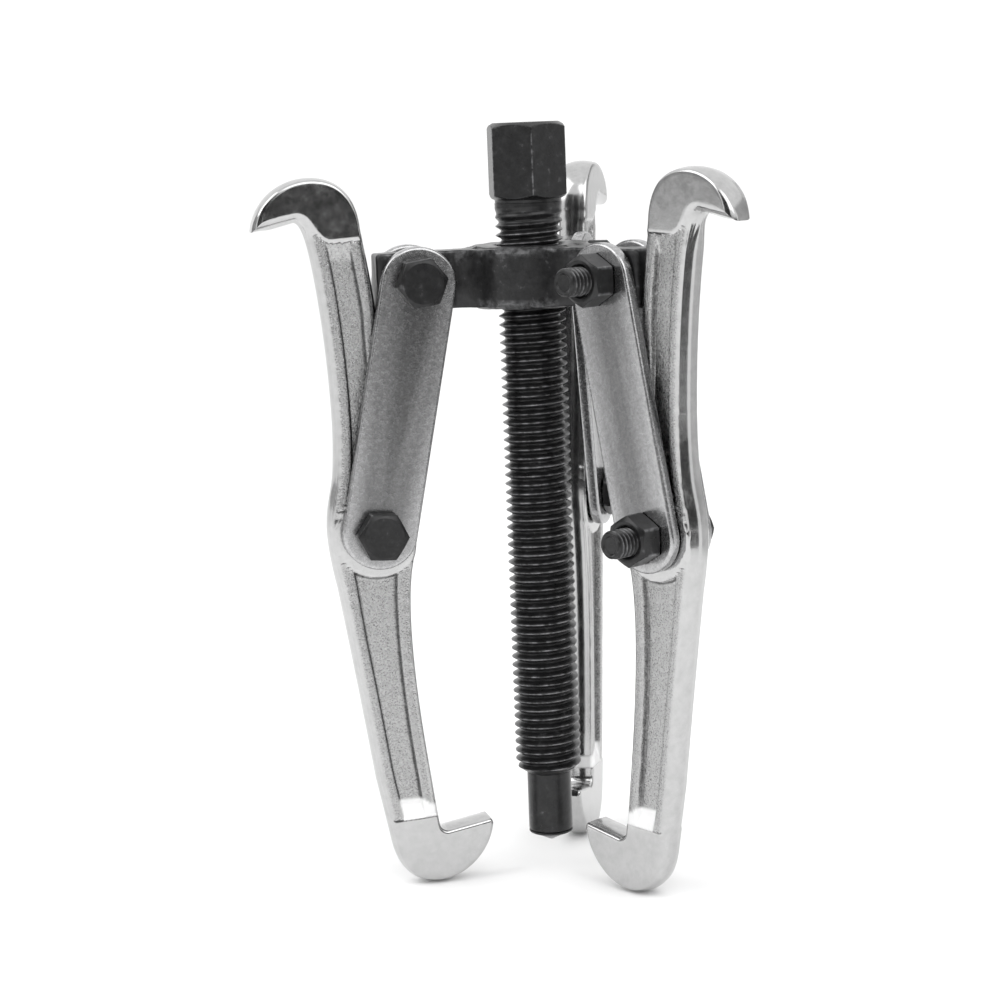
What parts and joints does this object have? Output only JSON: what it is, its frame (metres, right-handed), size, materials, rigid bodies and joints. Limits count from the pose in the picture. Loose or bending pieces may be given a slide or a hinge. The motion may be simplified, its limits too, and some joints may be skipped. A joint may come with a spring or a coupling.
{
  "type": "gear puller",
  "caption": "Reversible puller: hooked jaws hang from a lugged yoke on swinging links around a hex-headed forcing screw with a centre point.",
  "frame": {"origin": "the tip of the centre point, on the forcing screw's axis", "axes": "+Z along the forcing screw towards its hexagon head; the first arm points along +Y and the others follow at 120 degrees; +X completes the right-handed set"},
  "size_m": [0.1418, 0.1237, 0.2163],
  "materials": {
    "black_oxide": "black oxide, satin with an oily sheen and bright wear on edges and thread crests",
    "zinc_plate": "dull zinc plate over sheared and tumbled steel, finely mottled",
    "chrome_forging": "plated forging: pebbled pocket floors and rims, ground satin hook and boss faces, smooth outer and inner edges"
  },
  "bodies": {
    "yoke": {"yoke": "black_oxide"},
    "centre_point": {"centre_point": "black_oxide"},
    "forcing_screw": {"forcing_screw": "black_oxide"},
    "link_pair_1": {"head_side_link_1": "zinc_plate", "nut_side_link_1": "zinc_plate", "upper_bolt_1": "black_oxide", "lower_bolt_1": "black_oxide", "upper_nut_1": "black_oxide", "lower_nut_1": "black_oxide"},
    "jaw_1": {"jaw_1": "chrome_forging"},
    "link_pair_2": {"head_side_link_2": "zinc_plate", "nut_side_link_2": "zinc_plate", "upper_bolt_2": "black_oxide", "lower_bolt_2": "black_oxide", "upper_nut_2": "black_oxide", "lower_nut_2": "black_oxide"},
    "jaw_2": {"jaw_2": "chrome_forging"},
    "link_pair_3": {"head_side_link_3": "zinc_plate", "nut_side_link_3": "zinc_plate", "upper_bolt_3": "black_oxide", "lower_bolt_3": "black_oxide", "upper_nut_3": "black_oxide", "lower_nut_3": "black_oxide"},
    "jaw_3": {"jaw_3": "chrome_forging"}
  },
  "joints": [
    {"name": "screw_travel", "type": "slide", "parent": "yoke", "child": "centre_point", "axis": [0, 0, 1], "range_m": [-0.00254, 0.12446]},
    {"name": "screw_turn", "type": "hinge", "parent": "centre_point", "child": "forcing_screw", "pos_m": [0, 0, 0], "axis": [0, 0, 1], "range_deg": [-364, 17650]},
    {"name": "link_swing_1", "type": "hinge", "parent": "yoke", "child": "link_pair_1", "pos_m": [0, 0.034, 0.166], "axis": [1, 0, 0], "range_deg": [0, 65]},
    {"name": "jaw_swing_1", "type": "hinge", "parent": "link_pair_1", "child": "jaw_1", "pos_m": [0, 0.04825, 0.09594], "axis": [1, 0, 0], "range_deg": [-65, 0]},
    {"name": "link_swing_2", "type": "hinge", "parent": "yoke", "child": "link_pair_2", "pos_m": [-0.02944, -0.017, 0.166], "axis": [-0.5, 0.866, 0], "range_deg": [0, 65]},
    {"name": "jaw_swing_2", "type": "hinge", "parent": "link_pair_2", "child": "jaw_2", "pos_m": [-0.04179, -0.02413, 0.09594], "axis": [-0.5, 0.866, 0], "range_deg": [-65, 0]},
    {"name": "link_swing_3", "type": "hinge", "parent": "yoke", "child": "link_pair_3", "pos_m": [0.02944, -0.017, 0.166], "axis": [-0.5, -0.866, 0], "range_deg": [0, 65]},
    {"name": "jaw_swing_3", "type": "hinge", "parent": "link_pair_3", "child": "jaw_3", "pos_m": [0.04179, -0.02413, 0.09594], "axis": [-0.5, -0.866, 0], "range_deg": [-65, 0]}
  ],
  "couplings": [
    {"joint": "screw_turn", "follows": "screw_travel", "rad_per_m": 2473.7},
    {"joint": "jaw_swing_1", "follows": "link_swing_1", "ratio": -1},
    {"joint": "jaw_swing_2", "follows": "link_swing_2", "ratio": -1},
    {"joint": "jaw_swing_3", "follows": "link_swing_3", "ratio": -1}
  ]
}
